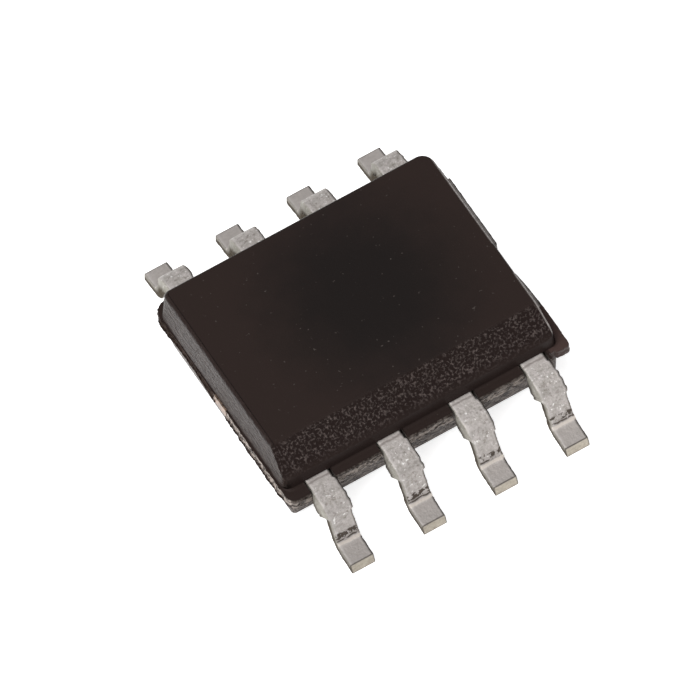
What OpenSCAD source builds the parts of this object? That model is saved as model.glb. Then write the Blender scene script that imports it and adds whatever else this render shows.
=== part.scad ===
// Eight-lead surface mount chip: a narrow small-outline package with gull-wing leads.
// Millimetres. X runs along the body, the leads point along +Y and -Y, and +Z is up.
// The origin is below the middle of the body, on the plane that the lead tips stand on.
// Leads 1 to 4 run from -X to +X on the bevelled -Y side, and 5 to 8 run back on the +Y side.

/* [Moulded body] */
// Length of the moulded body at the parting line
body_len = 4.9; // [4.7:0.1:6.2]
// Width of the moulded body at the parting line
body_wid = 3.9; // [3.6:0.1:5]
// Height of the top face above the board
body_top = 1.6; // [1.45:0.05:2.1]
// Height of the underside above the board
standoff = 0.15; // [0.1:0.01:0.25]
// Draft of the moulded walls, in degrees from upright
draft = 9; // [5:1:12]
// Radius of the upright corners at the parting line
corner_r = 0.25; // [0.22:0.01:0.4]
// Radius along the top and bottom edges
edge_r = 0.05; // [0.02:0.01:0.07]
// Width of the bevel that marks the side of lead 1, across the top face
bevel_wid = 0.4; // [0.2:0.05:0.5]
// Drop of that bevel down the wall
bevel_drop = 0.4; // [0.2:0.05:0.5]

/* [Lead frame] */
// Thickness of the copper sheet
frame_t = 0.2; // [0.15:0.01:0.25]
// Height of the sheet's top face above the board
frame_top = 1.0; // [0.85:0.05:1.15]
// Spacing of the leads
pitch = 1.27; // [1.1:0.01:1.27]
// Width of a lead
lead_w = 0.41; // [0.3:0.01:0.5]
// Length of a corner lead's wire land, across the body
land_len = 0.5; // [0.3:0.05:0.55]
// Width of a middle lead's wire land
land_wid = 0.85; // [0.55:0.05:0.9]
// Length of a middle lead's wire land, from its tip to its shoulder
land_depth = 0.45; // [0.3:0.05:0.5]

/* [Gull-wing bends] */
// Distance from the body's side to the lower edge of a lead's cut end
lead_out = 1.25; // [1.05:0.05:1.85]
// Flat length along the top of a foot
foot_len = 0.34; // [0.2:0.02:0.5]
// Angle of the foot to the board, in degrees
foot_tilt = 8; // [2:1:8]
// Distance that the top edge of the cut end is set back along the foot
cut_back = 0.05; // [0:0.01:0.08]
// Lean of the lead's sloping part, in degrees from upright
lean = 20; // [10:1:30]
// Inside radius of both bends
bend_r = 0.12; // [0.08:0.01:0.16]

/* [Trim and flash] */
// Distance from the body's side to the dam bar that joined the leads
dam_gap = 0.16; // [0.1:0.01:0.22]
// Length of the dam bar's stub along a lead
stub_len = 0.42; // [0.2:0.02:0.44]
// Distance that a stub stands out from the -X side of its lead
stub_out = 0.07; // [0.04:0.01:0.08]
// Distance that a stub stands out from the +X side of its lead
stub_in = 0.03; // [0.02:0.01:0.08]
// Slit between a lead and the resin web beside it
web_slit = 0.03; // [0.02:0.01:0.06]
// Distance that the resin stands out at the ends of the body
end_flash = 0.06; // [0.03:0.01:0.1]
// Radius of the outer corners of the flash
flash_r = 0.14; // [0.05:0.01:0.2]
// Radius of the flash where it ends beside a lead, and at the corner beside lead 4
flash_nib = 0.05; // [0.02:0.01:0.06]
// Extra reach of the flash at the corner beside lead 1
flash_extra = 0.08; // [0:0.01:0.1]
// Flash that has broken away at the corner beside lead 4
flash_lost = 0.09; // [0:0.01:0.12]
// Flash that has broken away beside the tie bar at the gate end
gate_break = 0.45; // [0.2:0.05:0.9]

/* [Die pad and die] */
// Length of the die pad
pad_len = 2.3; // [1.8:0.1:2.4]
// Width of the die pad
pad_wid = 1.7; // [1.5:0.1:1.9]
// Distance that the pad is set down below the leads
pad_drop = 0.2; // [0.12:0.02:0.3]
// Clear resin between the pad and the lead tips
pad_gap = 0.25; // [0.2:0.01:0.3]
// Width of the two tie bars that hold the pad
tie_w = 0.35; // [0.25:0.01:0.4]
// Length of tie bar left standing out of the end beside lead 1
tie_out = 0.05; // [0.02:0.01:0.08]
// Length of the silicon die
die_len = 1.5; // [1.2:0.1:1.7]
// Width of the silicon die
die_wid = 1.2; // [0.9:0.1:1.4]
// Thickness of the silicon die
die_t = 0.25; // [0.2:0.01:0.3]
// Thickness of the adhesive under the die
glue_t = 0.03; // [0.02:0.005:0.05]
// Distance that the adhesive shows round the die
glue_out = 0.05; // [0.02:0.01:0.08]

/* [Bond wires] */
// Diameter of a wire
wire_d = 0.03; // [0.025:0.005:0.04]
// Height of a wire's arch above its ends
loop_h = 0.16; // [0.1:0.01:0.2]
// Diameter of the ball that welds a wire to the die
ball_d = 0.08; // [0.06:0.01:0.1]
// Height of that ball
ball_h = 0.02; // [0.015:0.005:0.03]
// Inset of a wire's ends from the edges of the die and of the wire land
bond_in = 0.12; // [0.1:0.01:0.15]

/* [Hidden] */
$fn = 48;

resin = [0.13, 0.12, 0.11];
tin = [0.72, 0.69, 0.68];
copper = [0.80, 0.52, 0.34];
silicon = [0.38, 0.40, 0.45];
epoxy = [0.85, 0.85, 0.80];
gold = [0.90, 0.72, 0.30];

row = 4;
tie_bend = 45;
wire_sides = 8;
wire_rings = 12;
edge_steps = 4;
flash_steps = 6;
bend_steps = 10;

half_len = body_len / 2;
half_wid = body_wid / 2;
frame_bot = frame_top - frame_t;
dam_y = half_wid + dam_gap;
pad_top = frame_top - pad_drop;
glue_top = pad_top + glue_t;
die_top = glue_top + die_t;

// Centre of each bend, worked out from the lead's end back to the shoulder.
// toe: lower edge of the cut end. up: direction square to the foot. back: along the foot, inwards.
bend_out = bend_r + frame_t;
toe = [half_wid + lead_out, 0];
up = [sin(foot_tilt), cos(foot_tilt)];
back = [-cos(foot_tilt), sin(foot_tilt)];
foot_root = toe + up * frame_t + back * foot_len;
heel_c = foot_root + up * bend_r;
heel_end = heel_c + bend_r * [-cos(lean), -sin(lean)];
shoulder_z = frame_top - bend_out + bend_out * sin(lean);
slope_len = (shoulder_z - heel_end[1]) / cos(lean);
slope_top = heel_end + slope_len * [-sin(lean), cos(lean)];
shoulder_c = slope_top - bend_out * [cos(lean), sin(lean)];
bend_y = shoulder_c[0];

// The stub first follows the flat lead from the dam bar, then goes some way round the shoulder.
stub_flat = min(stub_len, bend_y - dam_y);
turn_step = (90 - lean) / bend_steps;
stub_steps = round((stub_len - stub_flat) / (bend_r + frame_t / 2) * 180 / PI / turn_step);

// Position of lead i along the row that faces +Y, from +X back to -X.
function lead_x(i) = pitch * ((row - 1) / 2 - i);
function is_corner(i) = i == 0 || i == row - 1;
function side_of(x) = x < 0 ? -1 : 1;
function flip(points) = [for (i = [len(points) - 1:-1:0]) points[i]];
function arc(centre, r, a0, a1, steps) =
    [for (k = [0:steps]) let (a = a0 + (a1 - a0) * k / steps) centre + r * [cos(a), sin(a)]];

// ---- Body ----

// Outline of the moulded wall from the bottom edge to the top edge, measured out from the axis
// of a corner. The walls lean in by the draft above and below the lead frame.
function edge_arc(depth, sign, plane) =
    let (zc = depth - edge_r, xc = corner_r - zc * tan(draft) - edge_r / cos(draft))
    [for (k = [0:edge_steps]) let (a = draft + (90 - draft) * k / edge_steps)
        [xc + edge_r * cos(a), plane + sign * (zc + edge_r * sin(a))]];

wall = concat(flip(edge_arc(frame_bot - standoff, -1, frame_bot)),
              [[corner_r, frame_bot], [corner_r, frame_top]],
              edge_arc(body_top - frame_top, 1, frame_top));

function both_sides(reach) = concat([for (p = wall) [reach + p[0], p[1]]],
                                    [for (p = flip(wall)) [-reach - p[0], p[1]]]);

// Two crossed prisms carry the flat walls and four quarter revolves carry the rounded corners.
module moulding() {
    cx = half_len - corner_r;
    cy = half_wid - corner_r;
    rotate([90, 0, 0]) linear_extrude(2 * cy, center = true) polygon(both_sides(cx));
    rotate([90, 0, 90]) linear_extrude(2 * cx, center = true) polygon(both_sides(cy));
    for (a = [0:90:270]) {
        sx = cos(a + 45) > 0 ? 1 : -1;
        sy = sin(a + 45) > 0 ? 1 : -1;
        translate([sx * cx, sy * cy, 0]) rotate([0, 0, a]) rotate_extrude(angle = 90)
            polygon(concat([[0, standoff]], wall, [[0, body_top]]));
    }
}

// Slice that leaves the bevel: it runs through the points set by bevel_wid and bevel_drop.
module bevel_cut() {
    lean_in = tan(draft);
    on_top = [-half_wid + (body_top - frame_top) * lean_in + bevel_wid, body_top];
    on_wall = [-half_wid + (body_top - bevel_drop - frame_top) * lean_in, body_top - bevel_drop];
    run = (on_top - on_wall) * 0.45;
    low = on_wall - run;
    high = on_top + run;
    rotate([90, 0, 90]) linear_extrude(body_len + 1, center = true)
        polygon([low, high, [low[0], high[1]]]);
}

// Resin that filled the lead frame's window between the body and the dam bar.
module side_webs() {
    web = pitch - lead_w - 2 * web_slit;
    root = half_wid - corner_r;
    for (i = [0:row - 2]) translate([lead_x(i) - pitch / 2 - web / 2, root, frame_bot])
        cube([web, dam_y - root, frame_t]);
}

// Flash of one quarter: round the corner from the last lead, then along the end as far as stop.
module corner_flash(stop, reach, corner = flash_r) {
    x0 = pitch * (row - 1) / 2 + lead_w / 2 + web_slit;
    x1 = half_len + end_flash;
    y1 = half_wid + reach;
    inner = [half_len - corner_r, half_wid - corner_r];
    translate([0, 0, frame_bot]) linear_extrude(frame_t)
        polygon(concat([[inner[0], stop], [x1, stop]],
                       arc([x1 - corner, y1 - corner], corner, 0, 90, flash_steps),
                       arc([x0 + flash_nib, y1 - flash_nib], flash_nib, 90, 180, edge_steps),
                       [[x0, inner[1]], inner]));
}

module flash() {
    side_webs();
    rotate([0, 0, 180]) side_webs();
    tie_edge = tie_w / 2;
    corner_flash(tie_edge, dam_gap);
    mirror([1, 0, 0]) corner_flash(tie_edge, dam_gap);
    mirror([0, 1, 0]) corner_flash(tie_edge + gate_break, dam_gap - flash_lost, flash_nib);
    rotate([0, 0, 180]) corner_flash(tie_edge, dam_gap + flash_extra);
}

// One moulding, set round the lead frame, the die and the wires, so it has their shape inside.
module body() {
    color(resin) difference() {
        union() {
            difference() {
                moulding();
                bevel_cut();
            }
            flash();
        }
        for (n = [1:2 * row]) lead(n);
        die_pad();
        die_attach();
        die();
        for (n = [1:2 * row]) bond_wire(n);
    }
}

// ---- Leads ----

// Outline of the bent sheet in Y and Z: out along the top, round the cut end and back underneath.
module gull_section() {
    polygon(concat(arc(shoulder_c, bend_out, 90, lean, bend_steps),
                   arc(heel_c, bend_r, 180 + lean, 270 - foot_tilt, bend_steps),
                   [toe + up * frame_t + back * cut_back, toe],
                   arc(heel_c, bend_out, 270 - foot_tilt, 180 + lean, bend_steps),
                   arc(shoulder_c, bend_r, lean, 90, bend_steps)));
}

// Sheet section drawn in Y and Z, given a width along X.
module across(width) {
    rotate([90, 0, 90]) linear_extrude(width, center = true) children();
}

// Flat part inside the body. A corner lead turns in beside the pad, and a middle lead ends in
// a wide land. Both lands take a bond wire and lock the lead in the resin.
module lead_blank(i) {
    x = abs(lead_x(i));
    w = lead_w / 2;
    land_end = pad_wid / 2 + pad_gap;
    shoulder = land_end + land_depth;
    tip_x = pad_len / 2 + pad_gap;
    tip_y = tie_w / 2 + pad_gap;
    wing = land_wid / 2;
    corner = [[x - w, bend_y], [x - w, shoulder - 0.1], [tip_x, land_end - 0.1], [tip_x, tip_y],
              [tip_x + land_len, tip_y], [x + w, land_end], [x + w, bend_y]];
    middle = [[x - w, bend_y], [x - w, shoulder], [x - wing, shoulder - 0.1], [x - wing, land_end],
              [x + wing, land_end], [x + wing, shoulder - 0.1], [x + w, shoulder], [x + w, bend_y]];
    side = side_of(lead_x(i));
    translate([0, 0, frame_bot]) linear_extrude(frame_t)
        polygon([for (p = is_corner(i) ? corner : middle) [side * p[0], p[1]]]);
}

// Stub of the dam bar, as wide as the lead and what stands out on both its sides. It follows
// the flat sheet to the shoulder and then goes round as many steps of the bend as it reaches.
// side is 1, or -1 on a lead that is turned half round, so that every stub leans towards -X.
module stub(side) {
    curl = 90 - stub_steps * turn_step;
    end_y = dam_y + stub_flat;
    tail = stub_steps > 0 ? concat(arc(shoulder_c, bend_out, 90, curl, stub_steps),
                                   arc(shoulder_c, bend_r, curl, 90, stub_steps))
                          : [[end_y, frame_top], [end_y, frame_bot]];
    translate([side * (stub_in - stub_out) / 2, 0, 0]) across(lead_w + stub_out + stub_in)
        polygon(concat([[dam_y, frame_bot], [dam_y, frame_top]], tail));
}

// Leads 1 to 4 are the row that faces +Y, turned half round.
module lead(n) {
    i = (n - 1) % row;
    color(tin) rotate([0, 0, n <= row ? 180 : 0]) {
        lead_blank(i);
        translate([lead_x(i), 0, 0]) {
            across(lead_w) gull_section();
            stub(n <= row ? -1 : 1);
        }
    }
}

// ---- Die pad, adhesive and die ----

// Tie bar towards +X, which climbs from the pad to the level of the leads and ends at reach.
module tie_bar(reach) {
    offset_x = frame_t * tan(tie_bend / 2);
    foot = pad_len / 2;
    head = foot + pad_drop / tan(tie_bend);
    rotate([90, 0, 0]) linear_extrude(tie_w, center = true)
        polygon([[foot - frame_t, pad_top], [foot - frame_t, pad_top - frame_t],
                 [foot + offset_x, pad_top - frame_t], [head + offset_x, frame_bot],
                 [reach, frame_bot], [reach, frame_top], [head, frame_top], [foot, pad_top]]);
}

module slab(length, width, bottom, thickness) {
    translate([-length / 2, -width / 2, bottom]) cube([length, width, thickness]);
}

module die_pad() {
    color(copper) {
        slab(pad_len, pad_wid, pad_top - frame_t, frame_t);
        tie_bar(half_len);
        mirror([1, 0, 0]) tie_bar(half_len + tie_out);
    }
}

module die_attach() {
    color(epoxy) slab(die_len + 2 * glue_out, die_wid + 2 * glue_out, pad_top, glue_t);
}

module die() {
    color(silicon) slab(die_len, die_wid, glue_top, die_t);
}

// ---- Bond wires ----

// Wire for lead n, from its ball on the die to the land of the lead, in an arch that leaves
// and lands upright. Rings of points follow the arch and are joined into one tube.
module bond_wire(n) {
    i = (n - 1) % row;
    side = side_of(lead_x(i));
    from = is_corner(i) ? [side * (die_len / 2 - bond_in), die_wid / 4]
                        : [side * die_len / 4, die_wid / 2 - bond_in];
    to = is_corner(i) ? [side * (pad_len / 2 + pad_gap + bond_in), tie_w / 2 + pad_gap + bond_in]
                      : [lead_x(i), pad_wid / 2 + pad_gap + bond_in];
    start = [from[0], from[1], die_top + ball_h];
    span = [to[0], to[1], frame_top] - start;
    flat = norm([span[0], span[1]]);
    along = [span[0] / flat, span[1] / flat, 0];
    sideways = [-along[1], along[0], 0];
    function arch(s) = start + span * (1 - cos(180 * s)) / 2 + [0, 0, loop_h * sin(180 * s)];
    function slope(s) = span * sin(180 * s) / 2 + [0, 0, loop_h * cos(180 * s)];
    points = [for (k = [0:wire_rings]) let (s = k / wire_rings, t = slope(s) / norm(slope(s)),
                                           outward = cross(t, sideways))
              for (j = [0:wire_sides - 1]) let (a = 360 * (j + 0.5) / wire_sides)
              arch(s) + wire_d / 2 * (cos(a) * outward + sin(a) * sideways)];
    last = wire_rings * wire_sides;
    skin = [for (k = [0:wire_rings - 1]) for (j = [0:wire_sides - 1])
            let (p = k * wire_sides + j, q = k * wire_sides + (j + 1) % wire_sides)
            [p, p + wire_sides, q + wire_sides, q]];
    color(gold) rotate([0, 0, n <= row ? 180 : 0]) {
        polyhedron(points, concat([[for (j = [0:wire_sides - 1]) j]], skin,
                                  [[for (j = [wire_sides - 1:-1:0]) last + j]]), convexity = 4);
        translate([from[0], from[1], die_top]) cylinder(h = ball_h, d = ball_d, $fn = 12);
    }
}

body();
lead(1);  // lead_1
lead(2);  // lead_2
lead(3);  // lead_3
lead(4);  // lead_4
lead(5);  // lead_5
lead(6);  // lead_6
lead(7);  // lead_7
lead(8);  // lead_8
die_pad();
die_attach();
die();
bond_wire(1);  // bond_wire_1
bond_wire(2);  // bond_wire_2
bond_wire(3);  // bond_wire_3
bond_wire(4);  // bond_wire_4
bond_wire(5);  // bond_wire_5
bond_wire(6);  // bond_wire_6
bond_wire(7);  // bond_wire_7
bond_wire(8);  // bond_wire_8
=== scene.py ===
import math
import bpy
import numpy as np
from mathutils import Matrix, Vector


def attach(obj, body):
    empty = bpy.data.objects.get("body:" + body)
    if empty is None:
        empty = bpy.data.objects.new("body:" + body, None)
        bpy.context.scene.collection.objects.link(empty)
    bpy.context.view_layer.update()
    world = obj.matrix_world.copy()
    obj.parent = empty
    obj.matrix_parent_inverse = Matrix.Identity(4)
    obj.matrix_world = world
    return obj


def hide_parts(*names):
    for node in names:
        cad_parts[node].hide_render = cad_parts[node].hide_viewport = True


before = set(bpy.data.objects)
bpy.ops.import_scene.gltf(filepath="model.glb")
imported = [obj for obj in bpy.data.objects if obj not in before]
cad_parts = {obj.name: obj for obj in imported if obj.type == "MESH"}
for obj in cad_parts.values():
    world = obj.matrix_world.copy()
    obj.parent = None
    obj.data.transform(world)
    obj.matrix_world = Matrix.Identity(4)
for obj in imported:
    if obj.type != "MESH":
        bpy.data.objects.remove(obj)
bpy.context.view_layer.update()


# ---- Die pad ----
# The pad that carries the die, with its two tie bars, is stamped from the same copper sheet
# as the leads. The cut end of one tie bar shows as a bare copper spot in the end of the body.

COPPER_DULL, COPPER_BRIGHT = (0.03, 0.02, 0.015), (0.55, 0.40, 0.31)


def add(tree, kind, at, **values):
    """Puts a node into tree at a place, then sets each named property, or the unlinked input of
    that name with its underscores read as spaces."""
    made = tree.nodes.new(kind)
    made.location = at
    for name, value in values.items():
        if hasattr(made, name):
            setattr(made, name, value)
        else:
            made.inputs[name.replace("_", " ")].default_value = value
    return made


def mottle_group():
    """Coarse and fine noise blended by Share: soft clouds of one size with grain of another.
    Value runs from 0 to 1, and serves both as a colour mask and as the height of a bump."""
    group = bpy.data.node_groups.new("mottle", "ShaderNodeTree")
    face = group.interface
    face.new_socket("Vector", in_out="INPUT", socket_type="NodeSocketVector")
    face.new_socket("Coarse", in_out="INPUT", socket_type="NodeSocketFloat")
    face.new_socket("Fine", in_out="INPUT", socket_type="NodeSocketFloat")
    face.new_socket("Share", in_out="INPUT", socket_type="NodeSocketFloat")
    face.new_socket("Value", in_out="OUTPUT", socket_type="NodeSocketFloat")
    inside = add(group, "NodeGroupInput", (-600, 0))
    big = add(group, "ShaderNodeTexNoise", (-380, 150), Detail=4.0, Roughness=0.6)
    small = add(group, "ShaderNodeTexNoise", (-380, -150), Detail=3.0, Roughness=0.65)
    blend = add(group, "ShaderNodeMix", (-150, 0), data_type="FLOAT")
    spread = add(group, "ShaderNodeMapRange", (50, 0), From_Min=0.3, From_Max=0.7)
    out = add(group, "NodeGroupOutput", (250, 0))
    link = group.links.new
    link(inside.outputs["Vector"], big.inputs["Vector"])
    link(inside.outputs["Vector"], small.inputs["Vector"])
    link(inside.outputs["Coarse"], big.inputs["Scale"])
    link(inside.outputs["Fine"], small.inputs["Scale"])
    link(inside.outputs["Share"], blend.inputs["Factor"])
    link(big.outputs["Fac"], blend.inputs[2])
    link(small.outputs["Fac"], blend.inputs[3])
    link(blend.outputs[0], spread.inputs["Value"])
    link(spread.outputs["Result"], out.inputs["Value"])
    return group


MOTTLE = mottle_group()


def use(tree, group, where, at, **values):
    """Places a node group that reads the coordinates where, with its inputs set by name, and
    gives its one output."""
    made = add(tree, "ShaderNodeGroup", at)
    made.node_tree = group
    tree.links.new(where, made.inputs["Vector"])
    for name, value in values.items():
        made.inputs[name].default_value = value
    return made.outputs[0]


def blank(name):
    """New material with only its output, a Principled BSDF and the Object coordinates."""
    made = bpy.data.materials.new(name)
    made.use_nodes = True
    tree = made.node_tree
    shader = tree.nodes["Principled BSDF"]
    where = add(tree, "ShaderNodeTexCoord", (-1400, 0))
    return made, tree, shader, where.outputs["Object"]


def two_tone(tree, mask, low, high, at):
    """Colour that goes from low to high as the mask goes from 0 to 1."""
    mix = add(tree, "ShaderNodeMix", at, data_type="RGBA")
    tree.links.new(mask, mix.inputs["Factor"])
    for socket, colour in ((mix.inputs[6], low), (mix.inputs[7], high)):
        if isinstance(colour, tuple):
            socket.default_value = (*colour, 1)
        else:
            tree.links.new(colour, socket)
    return mix.outputs[2]


def ramp(tree, value, at, **values):
    """Value carried in a straight line from the range From to the range To, each 0 to 1 unless
    its ends are given, and held at the two ends."""
    made = add(tree, "ShaderNodeMapRange", at, **values)
    tree.links.new(value, made.inputs["Value"])
    return made.outputs["Result"]


def relief(tree, shader, height, distance):
    """Bump of a height from 0 to 1 that stands out by distance, in metres."""
    bump = add(tree, "ShaderNodeBump", (-200, -300), Strength=1.0, Distance=distance)
    tree.links.new(height, bump.inputs["Height"])
    tree.links.new(bump.outputs["Normal"], shader.inputs["Normal"])


def plain_metal(name, low, high, coarse, fine, rough, height):
    """Metal whose colour and roughness drift between two tones with a mottle of two sizes."""
    made, tree, shader, where = blank(name)
    shade = use(tree, MOTTLE, where, (-900, 0), Coarse=coarse, Fine=fine, Share=0.45)
    tree.links.new(two_tone(tree, shade, low, high, (-500, 100)), shader.inputs["Base Color"])
    gloss = ramp(tree, shade, (-500, -150), To_Min=rough[0], To_Max=rough[1])
    tree.links.new(gloss, shader.inputs["Roughness"])
    shader.inputs["Metallic"].default_value = 1.0
    relief(tree, shader, shade, height)
    return made


def coat(node, finish):
    """Gives a CAD node its own material in place of the plain one that it came with."""
    node.data.materials.clear()
    node.data.materials.append(finish)


copper = plain_metal("bare copper", COPPER_DULL, COPPER_BRIGHT, 11000.0, 30000.0, (0.28, 0.5), 4e-6)
coat(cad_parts["die_pad"], copper)


# ---- Die attach ----
# A thin bed of silver-filled epoxy is dispensed on the pad, squeezed out a little round the
# die, and cured hard.

PASTE_DARK, PASTE_PALE, SILVER_FLAKE = (0.50, 0.49, 0.46), (0.68, 0.67, 0.63), (0.85, 0.85, 0.84)
SPECK_EDGE = 0.07


def speck_group():
    """Small separate grains: where a fine noise rises above a level it becomes a speck.
    Level sets how rare the grains are, from 0.5 for many to 0.8 for few."""
    group = bpy.data.node_groups.new("specks", "ShaderNodeTree")
    face = group.interface
    face.new_socket("Vector", in_out="INPUT", socket_type="NodeSocketVector")
    face.new_socket("Scale", in_out="INPUT", socket_type="NodeSocketFloat")
    face.new_socket("Level", in_out="INPUT", socket_type="NodeSocketFloat")
    face.new_socket("Mask", in_out="OUTPUT", socket_type="NodeSocketFloat")
    inside = add(group, "NodeGroupInput", (-600, 0))
    noise = add(group, "ShaderNodeTexNoise", (-380, 100), Detail=2.0, Roughness=0.6)
    top = add(group, "ShaderNodeMath", (-380, -150), operation="ADD")
    top.inputs[1].default_value = SPECK_EDGE
    cut = add(group, "ShaderNodeMapRange", (-150, 0), interpolation_type="SMOOTHSTEP")
    out = add(group, "NodeGroupOutput", (80, 0))
    link = group.links.new
    link(inside.outputs["Vector"], noise.inputs["Vector"])
    link(inside.outputs["Scale"], noise.inputs["Scale"])
    link(inside.outputs["Level"], top.inputs[0])
    link(noise.outputs["Fac"], cut.inputs["Value"])
    link(inside.outputs["Level"], cut.inputs["From Min"])
    link(top.outputs[0], cut.inputs["From Max"])
    link(cut.outputs["Result"], out.inputs["Mask"])
    return group


SPECKS = speck_group()
epoxy, tree, shader, where = blank("silver epoxy")
shade = use(tree, MOTTLE, where, (-900, 0), Coarse=12000.0, Fine=90000.0, Share=0.6)
flakes = use(tree, SPECKS, where, (-900, -250), Scale=120000.0, Level=0.58)
paste = two_tone(tree, shade, PASTE_DARK, PASTE_PALE, (-600, 0))
paste = two_tone(tree, flakes, paste, SILVER_FLAKE, (-400, 0))
tree.links.new(paste, shader.inputs["Base Color"])
shader.inputs["Roughness"].default_value = 0.45
relief(tree, shader, shade, 3e-6)
coat(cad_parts["die_attach"], epoxy)


# ---- Die ----
# A sawn square of silicon with its circuit side up. It is polished, dark and slightly blue,
# with fine lines of metal across its face.

CELL_DARK, CELL_PALE, METAL_LINE = (0.10, 0.11, 0.14, 1), (0.16, 0.17, 0.21, 1), (0.36, 0.33, 0.28, 1)
SILICON_HAZE = (0.14, 0.15, 0.19)
CELL_WIDTH, CELL_DEPTH, LINE_WIDTH = 9e-5, 6e-5, 3e-6

silicon, tree, shader, where = blank("silicon")
grid = add(tree, "ShaderNodeTexBrick", (-900, 0), Scale=1.0, Color1=CELL_DARK, Color2=CELL_PALE,
           Mortar=METAL_LINE, Mortar_Size=LINE_WIDTH, Brick_Width=CELL_WIDTH, Row_Height=CELL_DEPTH)
tree.links.new(where, grid.inputs["Vector"])
dust = use(tree, MOTTLE, where, (-900, -350), Coarse=6000.0, Fine=80000.0, Share=0.4)
tone = two_tone(tree, dust, grid.outputs["Color"], SILICON_HAZE, (-500, 0))
tree.links.new(tone, shader.inputs["Base Color"])
gloss = ramp(tree, dust, (-500, -250), To_Min=0.15, To_Max=0.3)
tree.links.new(gloss, shader.inputs["Roughness"])
shader.inputs["Metallic"].default_value = 0.4
relief(tree, shader, grid.outputs["Fac"], 1e-6)
coat(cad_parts["die"], silicon)


# ---- Bond wires ----
# Fine gold wire is welded as a ball to the die and stitched to the land of each lead, so
# that one arch joins every lead to the circuit.

GOLD_DEEP, GOLD_BRIGHT = (0.80, 0.55, 0.20), (0.95, 0.74, 0.34)

gold = plain_metal("gold wire", GOLD_DEEP, GOLD_BRIGHT, 15000.0, 110000.0, (0.2, 0.34), 1e-6)
for n in range(1, 9):
    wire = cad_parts[f"bond_wire_{n}"]
    coat(wire, gold)


# ---- Leads ----
# Each lead is stamped from copper sheet 0.2 mm thick, cut free of its dam bar, bent to a gull
# wing and plated with matte tin. The cut end of the foot is left as it was sheared.

# Sizes are in millimetres and degrees. The path of the sheet lies in Y and Z.
MM = 0.001
PITCH = 1.27
SHEET = 0.2
LEAD_WIDTH = 0.41
EDGE_RADIUS = 0.024
SHEET_MIDDLE = 0.9                      # height of the flat run
INNER_TIP = 0.425                       # Y of the inner end
BODY_SIDE = 1.95                        # Y of the body's side, where lengths are measured from
DAM = 2.11                              # Y of the line where the dam bar was cut
SHOULDER = (2.32467, 0.68)              # Y and Z of the two bends' centres
HEEL = (2.9078, 0.3642)
BEND = 0.22                             # radius of both bends
LEAN = 20.0                             # of the slope, from upright
SLOPE_LENGTH = 0.4961
FOOT_TILT = 8.0
FOOT_LENGTH = 0.34
CUT_BACK = 0.05                         # of the cut end's top edge
LAND_HALF = 0.425                       # half width of the land that takes the wire
NECK = (1.45, 1.55)                     # Y where the land narrows to the lead
CORNER_LAND = ((1.0, 1.4), (1.1, 1.9))  # Y and X of a corner lead's inner and outer turn
STUB_WIDE, STUB_SLIM = 0.072, 0.026     # how far the two stubs of the dam bar stand out
STUB_TOP = 0.25                         # share of that at the upper side of a burred stub
SLOPE_WAIST = 0.008                     # the slope is narrower by this on each side
RAGGED_FINE, RAGGED_LONG = 0.0025, 0.004
END_DRAWN_IN, NEXT_DRAWN_IN = 0.008, 0.003
TOP_POINTS, SIDE_POINTS, EDGE_POINTS = 17, 7, 3
# The dark outline round the cut end is tarnished metal darkened by painted shade.
CUT_FACE = (0.91, 0.78, 0.78)           # share of the cut end inside its dark outline
# FOOT_SHADE and SHOULDER_SHADE below are painted shade.
FOOT_SHADE = {-1: 0.26, 1: 0.12}        # how much darker the feet are, near and far side
SHOULDER_SHADE = 0.07

TIN_FLAT = ((0.44, 0.405, 0.38), (0.55, 0.505, 0.485))
TIN_BENT = ((0.28, 0.26, 0.228), (0.67, 0.618, 0.606))
# On the next line the first colour is a painted highlight, pale glints.
TIN_PAINTED_GLINT, TIN_PIT = (0.86, 0.84, 0.82), (0.16, 0.13, 0.115)
# On the next line the second colour is a painted highlight on the upper edges, and the third is
# tarnished edges darkened by painted shade.
TIN_FLANK, TIN_EDGE_HIGHLIGHT, TARNISH_AND_EDGE_SHADE = (0.36, 0.35, 0.29), (0.66, 0.62, 0.60), (0.075, 0.062, 0.05)
TIN_PALE_BAND, CRACKED, TOOL_LINE = (0.72, 0.655, 0.60), (0.055, 0.040, 0.030), (0.16, 0.13, 0.12)
SHEARED = ((0.38, 0.33, 0.26), (0.78, 0.71, 0.60))


def skin(name, rings, marks):
    """Mesh from a grid of points, in millimetres, with one row for each ring. Each ring is
    joined to the next and to itself, and the first and last rings are closed by a fan to
    their own middle. marks holds one value a point for each named attribute."""
    count, around = rings.shape[:2]
    points = np.concatenate([rings.reshape(-1, 3), rings[:1].mean(1), rings[-1:].mean(1)])
    here = np.arange(count * around).reshape(count, around)
    after = np.roll(here, -1, axis=1)
    quads = np.stack([here[:-1], after[:-1], after[1:], here[1:]], -1).reshape(-1, 4)
    first = np.stack([after[0], here[0], np.full(around, count * around)], -1)
    last = np.stack([here[-1], after[-1], np.full(around, count * around + 1)], -1)
    mesh = bpy.data.meshes.new(name)
    mesh.from_pydata((points * MM).tolist(), [], quads.tolist() + first.tolist() + last.tolist())
    for mark, values in marks.items():
        flat = np.concatenate([values.reshape(-1), values[:1].mean(1), values[-1:].mean(1)])
        layer = mesh.attributes.new(mark, "FLOAT", "POINT")
        layer.data.foreach_set("value", flat.astype(np.float32))
    mesh.polygons.foreach_set("use_smooth", np.ones(len(mesh.polygons), bool))
    mesh.update()
    made = bpy.data.objects.new(name, mesh)
    bpy.context.scene.collection.objects.link(made)
    return made


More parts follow.
